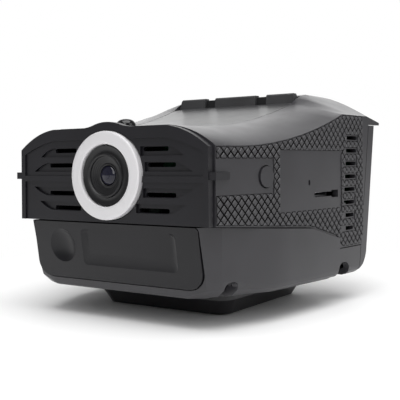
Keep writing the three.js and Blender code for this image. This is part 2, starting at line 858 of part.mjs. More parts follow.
const holderBack = barrelDepth + gap + 5;
place(
  "lens_holder",
  box(-8, 8, barrelDepth + gap, holderBack, lensHeight - 8, lensHeight + 8).subtract(
    alongY(circle(0, lensHeight, boreRadius), 0, holderBack + 1),
  ),
  plastic(0x101012, 0.6),
);
place(
  "camera_board",
  box(-15, 15, holderBack + gap, holderBack + gap + boardThickness, lensHeight - 6, lensHeight + 11),
  plastic(0x1c5b3a, 0.6),
);

// ---------------------------------------------------------------- lower case
const frontLean = Math.atan2(lowerFrontBottomY - lowerFrontTopY, partingFront - caseBottom);
const frontFrame = new THREE.Matrix4().makeRotationX(frontLean).setPosition(0, lowerFrontTopY, partingFront);
const toFront = (manifold) => solid(geometryOf(manifold).applyMatrix4(frontFrame));
const down = (z) => (z - partingFront) / Math.cos(frontLean); // a height measured along the leaning front

// The radar window's outline, with its big lower and small upper corners.
function windowOutline(margin) {
  const half = windowHalf + margin;
  const top = down(windowTop) + margin;
  const bottom = down(windowBottom) - margin;
  const low = windowCorner + margin;
  const high = 1.2 + margin;
  const s = new THREE.Shape();
  s.absarc(half - low, bottom + low, low, -Math.PI / 2, 0);
  s.absarc(half - high, top - high, high, 0, Math.PI / 2);
  s.absarc(-half + high, top - high, high, Math.PI / 2, Math.PI);
  s.absarc(-half + low, bottom + low, low, Math.PI, Math.PI * 1.5);
  return s;
}

function lowerCase() {
  const form = lowerLoft(0, 0).intersect(aheadOfRear(0));
  const panel = roundedRect(-far, partingStepY, caseBottom + 0.3, far, panelCorner);
  const raised = lowerLoft(sidePanelRaise, 0).intersect(alongX(panel, -far, far)).intersect(aheadOfRear(0));
  const cavity = lowerLoft(0, wall).intersect(aheadOfRear(wall));
  let shell = form.add(raised).subtract(cavity);
  const frontWall = toFront(box(-far, far, -1, frontWallDepth, -far, far));
  shell = shell.add(form.intersect(frontWall));
  for (const [x, y] of [...caseScrews, ...baseScrews]) {
    const top = Math.abs(x) > baseHalfX ? bossSplit : caseBottom + 6.5;
    shell = shell.add(rod(x, y, bossRadius, caseBottom + wall / 2, top).intersect(form));
  }
  const keep = partingPrism(-gap, -far);
  shell = shell.intersect(keep);
  const inside = lowerLoft(0, wall);
  for (const [x, y] of caseScrews) {
    shell = shell.subtract(rod(x, y, wellRadius, caseBottom - 1, wellTop));
    shell = shell.subtract(rod(x, y, holeRadius, caseBottom - 1, bossSplit + 1));
    shell = shell.subtract(rod(x, y, bossRadius + gap, bossSplit, far).intersect(inside));
    const half = y < middleY ? frontScoopHalf : rearScoopHalf;
    const scoop = roundedRect(y - half, y + half, caseBottom - half, wellTop - scoopDrop, half * 0.8);
    shell = shell.subtract(alongX(scoop, Math.min(x, x * 2), Math.max(x, x * 2), { curveSegments: 8 }));
  }
  for (const [x, y] of baseScrews) {
    shell = shell.subtract(rod(x, y, holeRadius, caseBottom - 1, caseBottom + 9));
  }
  const pocket = alongY(windowOutline(gap), -far, windowThickness + gap, { curveSegments: 8 });
  const mouth = box(recessLeft, recessRight, -1, far / 2, down(recessBottom), down(recessTop));
  const eye = alongY(circle(dimpleX, down(dimpleZ), dimpleRadius - 1), -1, far / 2);
  shell = shell.subtract(toFront(pocket.add(mouth).add(eye)).intersect(lowerFrontRegion()));
  return shell.subtract(behindRear(-bezelDepth - gap, far));
}

// Only the front wall may be cut by the window's openings.
function lowerFrontRegion() {
  return box(-lowerFrontHalf, lowerFrontHalf, -far, lowerFrontBottomY + frontWallDepth + 2, 0, partingFront + 2);
}
place("lower_case", lowerCase(), caseGrey);

const front = new THREE.Group();
front.position.set(0, lowerFrontTopY, partingFront);
front.rotation.x = frontLean;
body.add(front);

function radarWindow() {
  const plate = alongY(windowOutline(0), 0, windowThickness, { curveSegments: 8 });
  const low = down(recessBottom);
  const high = down(recessTop);
  const left = recessLeft + recessBevel;
  const right = recessRight - recessBevel;
  const recess = wasm.Manifold.hull([
    alongY(roundedRect(recessLeft, recessRight, low, high, 1.5), -1, 0.01, { curveSegments: 4 }),
    alongY(roundedRect(left, right, low + recessFade, high - 0.1, 1.2), -1, windowRecess),
  ]);
  const ball = (dimpleRadius ** 2 + dimpleDepth ** 2) / (2 * dimpleDepth);
  const sphere = solid(new THREE.SphereGeometry(ball, 64, 48).translate(dimpleX, dimpleDepth - ball, down(dimpleZ)));
  return plate.subtract(recess).subtract(sphere);
}
place("radar_window", radarWindow(), plastic(0x343337, 0.3), front);

// ---------------------------------------------------------------- side plugs
for (const [name, side] of [
  ["side_plug_right", 1],
  ["side_plug_left", -1],
]) {
  const cap = onSideWall(side, plugY, plugZ, disc(plugRadius, -1 + gap, plugProud));
  const stem = onSideWall(side, plugY, plugZ, disc(plugStem, -wall - 1, 0));
  place(name, cap.add(stem), caseGrey);
}

// ---------------------------------------------------------------- rear bezel, display and keys
const rear = new THREE.Group();
rear.position.set(0, rearPlaneY, lensHeight);
rear.rotation.x = -rearLean;
body.add(rear);
const rearFrame = new THREE.Matrix4().makeRotationX(-rearLean).setPosition(0, rearPlaneY, lensHeight);
const toRear = (manifold) => solid(geometryOf(manifold).applyMatrix4(rearFrame.clone().invert()));
const rise = (z) => (z - lensHeight) / Math.cos(rearLean); // a height measured along the leaning rear

const bezelHalf = wallX(rearPlaneY);
const keyBoardHalf = 3.2;
const keyBoardShift = 0.8; // the board sits nearer the middle than its keys
const keyRoom = wallX(rearPlaneY - keyRoomDepth) - wall - gap - keyBoardHalf + keyBoardShift;
const keyX = Math.min(bezelHalf - keyEdge - keyWidth / 2, keyRoom);
const paneLow = rise(paneCentre) - paneHeight / 2;
const paneHigh = rise(paneCentre) + paneHeight / 2;
const keyPlaces = Array.from(
  { length: keyCount },
  (_, i) => rise(keyTop) - keyLength / 2 - i * (keyLength + keyGap),
);

function rearBezel() {
  const outer = topLoft(0, partingRear).add(lowerLoft(0, 0)).intersect(aheadOfRear(0));
  const under = topLoft(wall + gap, partingRear);
  const slab = behindRear(-bezelDepth, rimTop + far).subtract(behindRear(0, rimTop + far));
  const low = outer.intersect(box(-far, far, -far, far * 2, 0, bezelTop));
  const high = under.intersect(box(-far, far, -far, far * 2, bezelTop - wall, rimTop));
  let bezel = toRear(low.add(high).intersect(slab));
  const seat = roundedRect(-paneHalf - gap, paneHalf + gap, paneLow - gap, paneHigh + gap, 2);
  const view = roundedRect(
    -paneHalf + paneBorder,
    paneHalf - paneBorder,
    paneLow + paneBorder,
    paneHigh - paneBorder,
    1,
  );
  bezel = bezel.subtract(alongY(seat, -paneThickness - 0.2 - gap, far, { curveSegments: 4 }));
  bezel = bezel.subtract(alongY(view, -far, far, { curveSegments: 3 }));
  for (const side of [1, -1]) {
    for (const h of keyPlaces) {
      bezel = bezel.subtract(keyPrism(side, h, gap, -far, far));
    }
  }
  return bezel;
}

function keyPrism(side, h, margin, from, to) {
  const x = side * keyX;
  const half = keyWidth / 2 + margin;
  const tall = keyLength / 2 + margin;
  return alongY(roundedRect(x - half, x + half, h - tall, h + tall, 1), from, to, { curveSegments: 4 });
}

place("rear_bezel", rearBezel(), plastic(0x3a393d, 0.5), rear);
place(
  "display_window",
  alongY(roundedRect(-paneHalf, paneHalf, paneLow, paneHigh, 2), -paneThickness - 0.2, -0.2, { curveSegments: 4 }),
  new THREE.MeshStandardMaterial({ color: 0x0a0a0c, roughness: 0.08, metalness: 0 }),
  rear,
);
const lcdFront = -bezelDepth - gap;
place(
  "display_panel",
  box(
    -paneHalf + lcdMargin,
    paneHalf - lcdMargin,
    lcdFront - lcdThickness,
    lcdFront,
    paneLow + lcdMargin,
    paneHigh - lcdMargin,
  ),
  plastic(0x1a1d22, 0.3),
  rear,
);

const flangeFront = -bezelDepth - gap;
const flangeBack = flangeFront - keyFlange;
const switchTip = flangeBack - keyTravel - 0.15;
const switchFace = switchTip - 0.6;
const keyBoardFace = switchFace - 1.2;
const capBack = -bezelDepth + keyTravel + 0.1;
const keyNeckInset = 1.5; // the key's foot stops short of the case wall
for (const [sideName, side] of [
  ["right", 1],
  ["left", -1],
]) {
  keyPlaces.forEach((h, i) => {
    const low = h - keyLength / 2;
    const high = h + keyLength / 2;
    const inner = keyX - keyWidth / 2;
    const outer = keyX + keyWidth / 2 - keyNeckInset;
    const across = (a, b) => [Math.min(side * a, side * b), Math.max(side * a, side * b)];
    const cap = keyPrism(side, h, 0, capBack, keyProud);
    const neck = box(...across(inner + 1, outer - 0.5), flangeBack + 0.4, capBack + 0.4, low + 1, high - 1);
    const flange = box(...across(inner - 1, outer), flangeBack, flangeFront, low, high);
    place(`key_${sideName}_${i + 1}`, cap.add(neck).add(flange), plastic(0x29282c, 0.5), rear);
  });
  const boardX = side * (keyX - keyBoardShift);
  const low = keyPlaces.at(-1) - keyLength / 2;
  const high = keyPlaces[0] + keyLength / 2;
  const boardLeft = boardX - keyBoardHalf;
  let board = box(boardLeft, boardX + keyBoardHalf, keyBoardFace - 1, keyBoardFace, low, high);
  for (const h of keyPlaces) {
    board = board.add(box(boardX - 2, boardX + 2, keyBoardFace - 0.5, switchFace, h - 2, h + 2));
    board = board.add(alongY(circle(boardX, h, 1), switchFace - 0.5, switchTip));
  }
  place(`key_board_${sideName}`, board, plastic(0x1c5b3a, 0.6), rear);
}

// ---------------------------------------------------------------- inside
const boardGreen = plastic(0x1c5b3a, 0.6);
const boardLow = mainBoardTop - boardThickness;
const socketLow = mainBoardTop + gap;
place("main_board", box(-mainBoardHalf, mainBoardHalf, 20, 70, boardLow, mainBoardTop), boardGreen);
const socketOut = wallX(cardSlotY) - wall - gap;
place(
  "card_socket",
  box(
    socketOut - 14,
    socketOut,
    cardSlotY + gap,
    cardSlotY + cardSlotLength - gap,
    socketLow,
    cardSlotZ + cardSlotHeight / 2,
  ).subtract(
    box(
      socketOut - 12.5,
      socketOut + 1,
      cardSlotY + 1,
      cardSlotY + cardSlotLength - 1,
      cardSlotZ - 0.45,
      cardSlotZ + 0.35,
    ),
  ),
  metal(0xb8b8ba, 0.35),
);
place(
  "reset_switch",
  box(socketOut - 8, socketOut - 3, pinholeY - 2.3, pinholeY + 2.3, socketLow, pinholeZ + 2.2).add(
    alongX(circle(pinholeY, pinholeZ, 0.8), socketOut - 3.5, wallX(pinholeY) - wall - gap, { curveSegments: 6 }),
  ),
  plastic(0x1a1a1c, 0.5),
);
const jackOut = wallX(jackY - jackWidth / 2) - wall - gap;
place(
  "power_socket",
  box(
    -jackOut,
    -jackOut + 8,
    jackY - jackWidth / 2,
    jackY + jackWidth / 2,
    socketLow,
    jackZ + jackHeight / 2,
  ).subtract(
    box(
      -jackOut - 1,
      -jackOut + 6,
      jackY - jackWidth / 2 + 0.5,
      jackY + jackWidth / 2 - 0.5,
      socketLow + 0.5,
      jackZ + jackHeight / 2 - 0.5,
    ),
  ),
  metal(0xa8a8aa, 0.35),
);

// The radar horn: a tapered box, open at its mouth.
function hornForm(shrink, from) {
  const rect = (x0, x1, z0, z1, y) => [v3(x0, y, z0), v3(x0, y, z1), v3(x1, y, z1), v3(x1, y, z0)];
  const rings = [
    rect(hornLeft + shrink, hornRight - shrink, hornLow + shrink, hornHigh - shrink, from),
    rect(hornLeft + 6, hornRight - 6, hornLow + shrink + 1, hornHigh - shrink - 1, hornFront + hornLength - shrink),
  ];
  return solid(loft(rings, (p) => v2(-p.x, p.z)));
}
place("radar_horn", hornForm(0, hornFront).subtract(hornForm(1, hornFront - 1)), metal(0xbfae7a, 0.35));
place(
  "radar_board",
  box(
    hornLeft + 4,
    hornRight - 4,
    hornFront + 4,
    hornFront + hornLength,
    hornHigh + gap,
    hornHigh + gap + boardThickness,
  ),
  boardGreen,
);
place(
  "laser_lens",
  latheY(
    [
      [0, hornFront - 0.8],
      [2.4, hornFront],
      [3.4, hornFront + 1.2],
      [3.4, hornFront + 4],
      [0, hornFront + 4],
    ],
    dimpleX,
    0,
    dimpleZ,
    24,
  ),
  new THREE.MeshStandardMaterial({ color: 0x3a0f12, roughness: 0.1, metalness: 0 }),
);
place(
  "laser_receiver",
  alongY(circle(dimpleX, dimpleZ, 2.8), hornFront + 4 + gap, hornFront + 10).add(
    box(dimpleX - 6, dimpleX + 6, hornFront + 9, hornFront + 10.5, dimpleZ - 6, dimpleZ + 6),
  ),
  plastic(0x222226, 0.5),
);
place(
  "speaker",
  solid(lathe([[0, 0], [9.5, 0], [11.5, 1.2], [11.5, 3], [7, 3], [6, 5], [0, 5]], 32).rotateZ(-Math.PI / 2))
    .translate([-wallX(speakerY) + wall + 3, speakerY, speakerZ]),
  plastic(0x19191b, 0.6),
);
place("battery", box(-19, 19, 44, 66, caseBottom + 8, caseBottom + 14), plastic(0x8a8f98, 0.4));

const switchTipZ = panelUnder - 2.1 - buttonTravel - 0.1;
place(
  "top_switch",
  box(-6, 6, buttonY - 3, buttonY + 3, switchTipZ - 3.1, switchTipZ - 2.1)
    .add(box(-2.5, 2.5, buttonY - 2.5, buttonY + 2.5, switchTipZ - 2.3, switchTipZ - 0.7))
    .add(rod(0, buttonY, 1.1, switchTipZ - 1, switchTipZ)),
  plastic(0x1c1c1f, 0.5),
);

// ---------------------------------------------------------------- screws
const steel = metal(0x8c8c90, 0.35);
caseScrews.forEach(([x, y], i) => {
  place(`case_screw_${i + 1}`, screw(x, y, wellTop - gap - screwHeadHeight, caseScrewLength), steel);
});
baseScrews.forEach(([x, y], i) => {
  place(`base_screw_${i + 1}`, screw(x, y, padThickness + gap * 2, baseScrewLength), steel);
});

// ---------------------------------------------------------------- base
function baseRing(spread, z) {
  const half = baseHalfX + spread;
  const corner = baseCorner + spread * 0.4;
  const outline = roundedRect(-half, half, baseFrontY - spread, baseRearY + spread, corner);
  return outline.getPoints(6).slice(0, -1).map((p) => v3(p.x, p.y, z));
}

function basePlinth() {
  const rings = [baseRing(0, baseLip), baseRing(baseSpread, baseSpreadTop), baseRing(baseSpread, caseBottom - gap)];
  let plinth = solid(loft(rings, (p) => v2(p.x, p.y)));
  plinth = plinth.subtract(alongZ(padOutline(gap), 0, padThickness + gap, { curveSegments: 6 }));
  for (const [x, y] of baseScrews) {
    plinth = plinth.subtract(rod(x, y, holeRadius, 0, caseBottom + 1));
    plinth = plinth.subtract(rod(x, y, screwHeadRadius + gap, 0, padThickness + gap * 3 + screwHeadHeight));
  }
  return plinth;
}

function padOutline(margin) {
  const edge = padInset - margin;
  return roundedRect(-baseHalfX + edge, baseHalfX - edge, baseFrontY + edge, baseRearY - edge, baseCorner - 2 + margin);
}
place("base_plinth", basePlinth(), plastic(0x131215, 0.45));
place("base_pad", alongZ(padOutline(0), 0, padThickness, { curveSegments: 6 }), plastic(0x0b0b0c, 0.9));

export default part;
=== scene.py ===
# %% [markdown]
# # A dash-top radar detector with a built-in camera
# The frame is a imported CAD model, in metres, that stays fixed. This lesson gives it its looks:
# smooth moulded shells, a diamond grip pattern on the sides, a turned lens, plastics with a real
# surface, and a plain white studio. Every piece sits at the origin, with its place in its mesh.

# %% Load the fixed frame
import json
import math

import bmesh
import bpy
from mathutils import Matrix, Vector
from mathutils.bvhtree import BVHTree

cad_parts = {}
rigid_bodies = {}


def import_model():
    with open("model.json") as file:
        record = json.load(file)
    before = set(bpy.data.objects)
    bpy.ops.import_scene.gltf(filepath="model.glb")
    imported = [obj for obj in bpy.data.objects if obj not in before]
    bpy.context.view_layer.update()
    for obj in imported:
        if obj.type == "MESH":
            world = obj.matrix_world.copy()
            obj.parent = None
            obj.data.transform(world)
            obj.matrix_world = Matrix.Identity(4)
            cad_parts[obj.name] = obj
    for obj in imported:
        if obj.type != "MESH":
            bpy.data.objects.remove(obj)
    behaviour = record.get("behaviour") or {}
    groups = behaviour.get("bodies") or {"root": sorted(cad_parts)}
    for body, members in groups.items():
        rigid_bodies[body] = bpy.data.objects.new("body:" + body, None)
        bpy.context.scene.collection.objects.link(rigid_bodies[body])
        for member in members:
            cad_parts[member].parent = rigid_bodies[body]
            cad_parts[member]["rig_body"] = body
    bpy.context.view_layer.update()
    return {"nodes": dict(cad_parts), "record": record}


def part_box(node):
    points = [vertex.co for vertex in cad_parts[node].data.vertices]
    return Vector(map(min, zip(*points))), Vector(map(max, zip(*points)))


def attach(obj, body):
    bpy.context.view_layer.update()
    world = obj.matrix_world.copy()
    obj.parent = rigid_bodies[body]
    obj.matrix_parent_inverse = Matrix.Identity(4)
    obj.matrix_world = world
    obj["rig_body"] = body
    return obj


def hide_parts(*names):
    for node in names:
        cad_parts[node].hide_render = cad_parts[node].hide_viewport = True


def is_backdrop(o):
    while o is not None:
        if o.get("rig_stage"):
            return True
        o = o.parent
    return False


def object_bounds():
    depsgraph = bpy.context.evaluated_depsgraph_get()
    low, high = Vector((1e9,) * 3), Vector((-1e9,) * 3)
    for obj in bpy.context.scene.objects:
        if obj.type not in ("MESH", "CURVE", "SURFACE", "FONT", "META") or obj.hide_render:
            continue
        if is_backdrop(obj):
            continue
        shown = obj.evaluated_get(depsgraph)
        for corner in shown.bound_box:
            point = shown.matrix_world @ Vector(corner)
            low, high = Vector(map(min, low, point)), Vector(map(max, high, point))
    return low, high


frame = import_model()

MM = 0.001
nodes = frame["nodes"]

# %% [markdown]
# ## Camera
# The unit is seen from its front right, with the viewing camera level and just above the unit's
# own lens. A tilt would make the uprights lean, so the frame is lowered with a small shift instead.
# The viewer stands close: the face is about a quarter nearer than the tail, and looks larger for it.

# %% Camera
sensor_width, focal_length = 36, 66.87
shift_x, shift_y = 0.0008, -0.0914
round_to_right, roll = 34.128, -0.478  # degrees
to_right, ahead_of_face, above_lens = 145.53, 164.49, 3.32  # mm

low, high = (Vector(corner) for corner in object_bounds())
camera_data = bpy.data.cameras.new("camera")
camera_data.sensor_width = sensor_width
camera_data.lens = focal_length
camera_data.shift_x = shift_x
camera_data.shift_y = shift_y
camera = bpy.data.objects.new("camera", camera_data)
bpy.context.scene.collection.objects.link(camera)
turn = Matrix.Rotation(math.radians(round_to_right), 4, "Z")
turn = turn @ Matrix.Rotation(math.radians(90), 4, "X")
turn = turn @ Matrix.Rotation(math.radians(roll), 4, "Z")
lens_low, lens_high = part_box("lens_ring")
lens_height = (lens_low.z + lens_high.z) / 2
place = Vector((to_right * MM, low.y - ahead_of_face * MM, lens_height + above_lens * MM))
camera.matrix_world = Matrix.Translation(place) @ turn
bpy.context.scene.camera = camera
print("camera at", [round(v / MM, 1) for v in place], "mm")

# %% [markdown]
# ## Floor and light
# A dark satin object is drawn by what it reflects. A large box overhead lights the floor, which
# glows back up on the sides. A broad box low behind the unit lies where the near-level top mirrors
# the viewer, so it draws the bright band along the shoulder. A small box on the right opens the side
# wall, and one at the front right picks out the dimple and the bevels. The world looks white but
# gives little light, because a bright world all round would turn black plastic grey.

# %% Floor and light
floor_half = 6  # m
floor_drop = 0.02  # mm under the pad, so that the two surfaces don't fight

floor_mesh = bpy.data.meshes.new("floor")
floor_bm = bmesh.new()
bmesh.ops.create_grid(floor_bm, x_segments=1, y_segments=1, size=floor_half)
bmesh.ops.translate(floor_bm, verts=floor_bm.verts, vec=(0, 0, low.z - floor_drop * MM))
floor_bm.to_mesh(floor_mesh)
floor_bm.free()
floor = bpy.data.objects.new("floor", floor_mesh)
bpy.context.scene.collection.objects.link(floor)
floor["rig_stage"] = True


def soft_box(name, position, target, size, power):
    """A rectangular lamp aimed at a target; sizes in metres, power in watts."""
    data = bpy.data.lights.new(name, "AREA")
    data.shape = "RECTANGLE"
    data.size, data.size_y = size
    data.energy = power
    light = bpy.data.objects.new(name, data)
    bpy.context.scene.collection.objects.link(light)
    aim = (Vector(target) - Vector(position)).to_track_quat("-Z", "Y")
    light.matrix_world = Matrix.Translation(position) @ aim.to_matrix().to_4x4()


soft_box("overhead", (0.15, -0.15, 0.8), (0, 0, 0.03), (0.9, 0.8), 8)
soft_box("right_panel", (0.75, 0.1, 0.30), (0.02, 0, 0.04), (0.5, 0.5), 1.0)
soft_box("front_right_panel", (0.35, -0.75, 0.45), (0, -0.04, 0.03), (0.35, 0.5), 1.6)
soft_box("back_panel", (-0.5, 0.72, 0.42), (0, 0, 0.05), (1.1, 0.62), 2.9)

world_as_light, world_as_seen = 0.2, 1.0
world = bpy.data.worlds.new("studio")
bpy.context.scene.world = world
world.use_nodes = True
sky = world.node_tree.nodes["Background"]
sky.inputs["Color"].default_value = (1, 1, 1, 1)
path = world.node_tree.nodes.new("ShaderNodeLightPath")
glow = world.node_tree.nodes.new("ShaderNodeMapRange")
glow.inputs["To Min"].default_value = world_as_light
glow.inputs["To Max"].default_value = world_as_seen
world.node_tree.links.new(path.outputs["Is Camera Ray"], glow.inputs["Value"])
world.node_tree.links.new(glow.outputs["Result"], sky.inputs["Strength"])
bpy.context.scene.view_settings.view_transform = "Standard"

# %% [markdown]
# ## Plastics
# Moulded plastic is never one flat colour. Its skin has a fine spark-eroded grain, which breaks the
# highlight, and slow drifts of tone and gloss where it flowed in the mould or was handled. Both
# come from noise on Object coordinates, so the pattern keeps its real size on every piece.

# %% Materials
def noise(tree, scale, detail=2.0):
    """A noise on Object coordinates; scale is in cycles a metre."""
    made = tree.nodes.new("ShaderNodeTexNoise")
    made.inputs["Scale"].default_value = scale
    made.inputs["Detail"].default_value = detail
    tree.links.new(tree.nodes["place"].outputs["Object"], made.inputs["Vector"])
    return made


def moulded(
    name, colour, roughness, grain=0.12, grain_size=0.25, drift=0.12, metallic=0.0, specular=0.5
):
    """A plastic or metal skin. grain is its bump strength, grain_size is in mm."""
    material = bpy.data.materials.new(name)
    material.use_nodes = True
    tree = material.node_tree
    shader = tree.nodes["Principled BSDF"]
    shader.inputs["Metallic"].default_value = metallic
    shader.inputs["Specular IOR Level"].default_value = specular
    where = tree.nodes.new("ShaderNodeTexCoord")
    where.name = "place"
    slow = noise(tree, 55)
    tone = tree.nodes.new("ShaderNodeValToRGB")
    tone.color_ramp.elements[0].position = 0.3
    tone.color_ramp.elements[1].position = 0.7
    tone.color_ramp.elements[0].color = [c * (1 - drift) for c in colour] + [1]
    tone.color_ramp.elements[1].color = [min(1, c * (1 + drift)) for c in colour] + [1]
    tree.links.new(slow.outputs["Fac"], tone.inputs["Fac"])
    tree.links.new(tone.outputs["Color"], shader.inputs["Base Color"])
    gloss = tree.nodes.new("ShaderNodeMapRange")
    gloss.inputs["To Min"].default_value = max(0.02, roughness - 0.05)
    gloss.inputs["To Max"].default_value = roughness + 0.05
    smear = noise(tree, 160, 3)
    tree.links.new(smear.outputs["Fac"], gloss.inputs["Value"])
    tree.links.new(gloss.outputs["Result"], shader.inputs["Roughness"])
    if grain:
        fine = noise(tree, 1 / (grain_size * MM), 2)
        bump = tree.nodes.new("ShaderNodeBump")
        bump.inputs["Strength"].default_value = grain
        bump.inputs["Distance"].default_value = 0.00005
        tree.links.new(fine.outputs["Fac"], bump.inputs["Height"])
        tree.links.new(bump.outputs["Normal"], shader.inputs["Normal"])
    return material


finishes = {
    "case": moulded("grey_case", (0.030, 0.029, 0.033), 0.32),
    "panel": moulded("satin_top", (0.045, 0.045, 0.047), 0.30, grain=0.06),
    "plate": moulded("dark_face", (0.009, 0.0086, 0.0112), 0.40, specular=0.35),
    "black_gloss": moulded("gloss_black", (0.006, 0.006, 0.007), 0.14, grain=0.01),
    "window": moulded("smoked_window", (0.007, 0.0067, 0.0085), 0.33, grain=0.03, specular=0.36),
    "ring": moulded("satin_silver", (0.74, 0.73, 0.745), 0.5, grain=0.05, drift=0.02, metallic=0.25),
    "glass": moulded("coated_glass", (0.010, 0.010, 0.022), 0.06, grain=0, specular=0.5),
    "base": moulded("black_base", (0.011, 0.0105, 0.0125), 0.34, grain=0.08),
    "pad": moulded("soft_pad", (0.008, 0.008, 0.008), 0.85, grain=0.5, grain_size=0.6),
    "board": moulded("green_board", (0.02, 0.11, 0.05), 0.35, grain=0.2, grain_size=1.2),
    "inner_black": moulded("inner_black", (0.007, 0.007, 0.008), 0.5, specular=0.3),
    "steel": moulded("zinc_steel", (0.5, 0.5, 0.52), 0.35, grain=0.06, drift=0.05, metallic=1.0),
    "horn": moulded("horn_metal", (0.55, 0.46, 0.26), 0.35, grain=0.05, metallic=1.0),
    "cell": moulded("foil_cell", (0.45, 0.47, 0.5), 0.3, grain=0.2, grain_size=1.5, metallic=0.8),
}
slot_of = {part["node"]: part["material_slot"] for part in frame["record"]["subparts"]}
for name, node in nodes.items():
    node.data.materials.clear()
    node.data.materials.append(finishes[slot_of[name]])
print("mixed", len(finishes), "finishes for", len(nodes), "nodes")

# %% [markdown]
# ## The floor's finish
# Close to the unit the floor is plain matt white, so that it takes a soft contact shadow. Further
# out it fades into a plain white glow, which hides the horizon.

# %% Floor finish
floor_white = 0.93
fade_from, fade_to = 0.06, 0.16  # m from the middle
sweep = moulded("white_sweep", (floor_white,) * 3, 0.9, grain=0, drift=0.005)
sweep_nodes, sweep_links = sweep.node_tree.nodes, sweep.node_tree.links
shine = sweep_nodes["Principled BSDF"]
shine.inputs["Emission Color"].default_value = (1, 1, 1, 1)
shine.inputs["Specular IOR Level"].default_value = 0
spread = sweep_nodes.new("ShaderNodeVectorMath")
spread.operation = "LENGTH"
fade = sweep_nodes.new("ShaderNodeMapRange")
fade.interpolation_type = "SMOOTHSTEP"
fade.inputs["From Min"].default_value = fade_from
fade.inputs["From Max"].default_value = fade_to
fade.inputs["To Max"].default_value = 1.0
dim = sweep_nodes.new("ShaderNodeMix")
dim.data_type = "RGBA"
dim.inputs["A"].default_value = (floor_white, floor_white, floor_white, 1)
dim.inputs["B"].default_value = (0, 0, 0, 1)
sweep_links.new(sweep_nodes["place"].outputs["Object"], spread.inputs[0])
sweep_links.new(spread.outputs["Value"], fade.inputs["Value"])
sweep_links.new(fade.outputs["Result"], shine.inputs["Emission Strength"])
sweep_links.new(fade.outputs["Result"], dim.inputs["Factor"])
sweep_links.new(dim.outputs["Result"], shine.inputs["Base Color"])
floor.data.materials.append(sweep)
print("floor fades to white from", fade_from / MM, "to", fade_to / MM, "mm")

# %% [markdown]
# ## Moulded shells
# The CAD shells have the right shape, but they are faceted. So each is copied, its doubles merged
# and its flat facets joined, and all but its sharp edges are shaded smooth. Real moulded edges are
# never knife-sharp, and a small bevel draws the thin light line along them. The panels, plate,
# window, keys and foot get one. The two big shells and the bezel keep their own edges, because their
# openings are too fine to bevel cleanly. A Weighted Normal modifier keeps the flats flat.

# %% A moulded copy of a CAD node
def finished(name, bm, materials, body, replaces=(), weighted=True):
    """Hangs a finished mesh on its body, in place of the CAD nodes it replaces."""
    mesh = bpy.data.meshes.new(name)
    bm.to_mesh(mesh)
    bm.free()
    for material in materials:
        mesh.materials.append(material)
    piece = bpy.data.objects.new(name, mesh)
    bpy.context.scene.collection.objects.link(piece)
    if weighted:
        even = piece.modifiers.new("even_shading", "WEIGHTED_NORMAL")
        even.keep_sharp = True
    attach(piece, body)
    if replaces:
        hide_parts(*replaces)
    return piece


merge_distance = 0.002  # mm
flat_angle = math.radians(0.4)  # facets closer than this are one face
shell_crease = math.radians(28)  # edges sharper than this are real ones


def moulded_copy(node, edge, finish=None):
    """The CAD node with its facets joined, its sharp edges bevelled by edge mm and the rest smooth."""
    bm = bmesh.new()
    bm.from_mesh(nodes[node].data)
    bmesh.ops.remove_doubles(bm, verts=bm.verts, dist=merge_distance * MM)
    bmesh.ops.dissolve_limit(bm, angle_limit=flat_angle, verts=bm.verts, edges=bm.edges)
    if edge:
        sharp = [e for e in bm.edges if e.is_manifold and e.calc_face_angle(0) > shell_crease]
        bmesh.ops.bevel(
            bm, geom=sharp, offset=edge * MM, offset_type="OFFSET", segments=2, profile=0.5,
            affect="EDGES", clamp_overlap=True, material=-1,
        )
    for face in bm.faces:
        face.smooth = True
    for line in bm.edges:
        line.smooth = not line.is_manifold or line.calc_face_angle(0) < shell_crease
    slot = slot_of[node]
    body = nodes[node]["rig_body"]
    piece = finished(node + "_shell", bm, [finish or finishes[slot]], body, [node])
    print(node, "->", len(piece.data.polygons), "faces")


for node, edge in [
    ("upper_case", 0), ("lower_case", 0), ("top_panel", 0.2), ("face_plate", 0.12),
    ("radar_window", 0.15), ("rear_bezel", 0), ("base_plinth", 0.3), ("base_pad", 0.2),
]:
    moulded_copy(node, edge)
display_pane = moulded("display_pane", (0.006, 0.006, 0.008), 0.09, grain=0)
moulded_copy("display_window", 0.3, display_pane)
for node in nodes:
    if node.startswith("key_") and "board" not in node:
        moulded_copy(node, 0.25)

# %% [markdown]
# ## Diamond grip
# The sides carry a raised diamond grip in rows, moulded with the case, round two smooth islands and
# the vents. It could be a bump map, but seen along the wall the diamonds stand out against each
# other, so they are real: one low four-sided frustum per diamond, with a near-black lozenge behind it
# in the groove. That lozenge is painted shade: the groove is the case's own plastic, and its dark,
# dull colour stands in for the shade that falls between the diamonds. First come the borders. The
# wall's curve is the case's own, and its upper and lower edges are found by shooting rays at the
# shell's side.

# %% The wall, its borders and its islands
along, up = 2.85, 2.9  # spacing of the diamonds, mm
grip_colour = moulded("grip_diamond", (0.043, 0.042, 0.046), 0.42)
# painted shade: a near-black, dull sheet in the grooves stands in for the shade that falls between the
# diamonds
groove_painted_shade = moulded("grip_groove_painted_shade", (0.002, 0.002, 0.002), 0.8, specular=0.1)
front_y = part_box("face_plate")[0].y / MM
length = high.y / MM - front_y
half_front, flare = 36.0, 0.205  # half width at the face, and how fast it grows
ease = (half_front + flare * length - high.x / MM) / length**2
wall_match = 0.15  # mm, and the same as a slope
wall_bm = bmesh.new()
wall_bm.from_mesh(nodes["upper_case"].data)
wall_tree = BVHTree.FromBMesh(wall_bm)
wall_bm.free()


def wall_x(y):
    """Half width of the case at a distance back from the face, in mm."""
    return half_front + flare * y - ease * y * y


def is_wall(y, z):
    """Whether the outer wall is there: a ray shot at the side meets it where the wall should be."""
    start = Vector((2 * high.x, (front_y + y) * MM, z * MM))
    hit, normal, _, _ = wall_tree.ray_cast(start, Vector((-1, 0, 0)))
    if hit is None:
        return False
    return abs(hit.x / MM - wall_x(y)) < wall_match and abs(normal.z) < wall_match


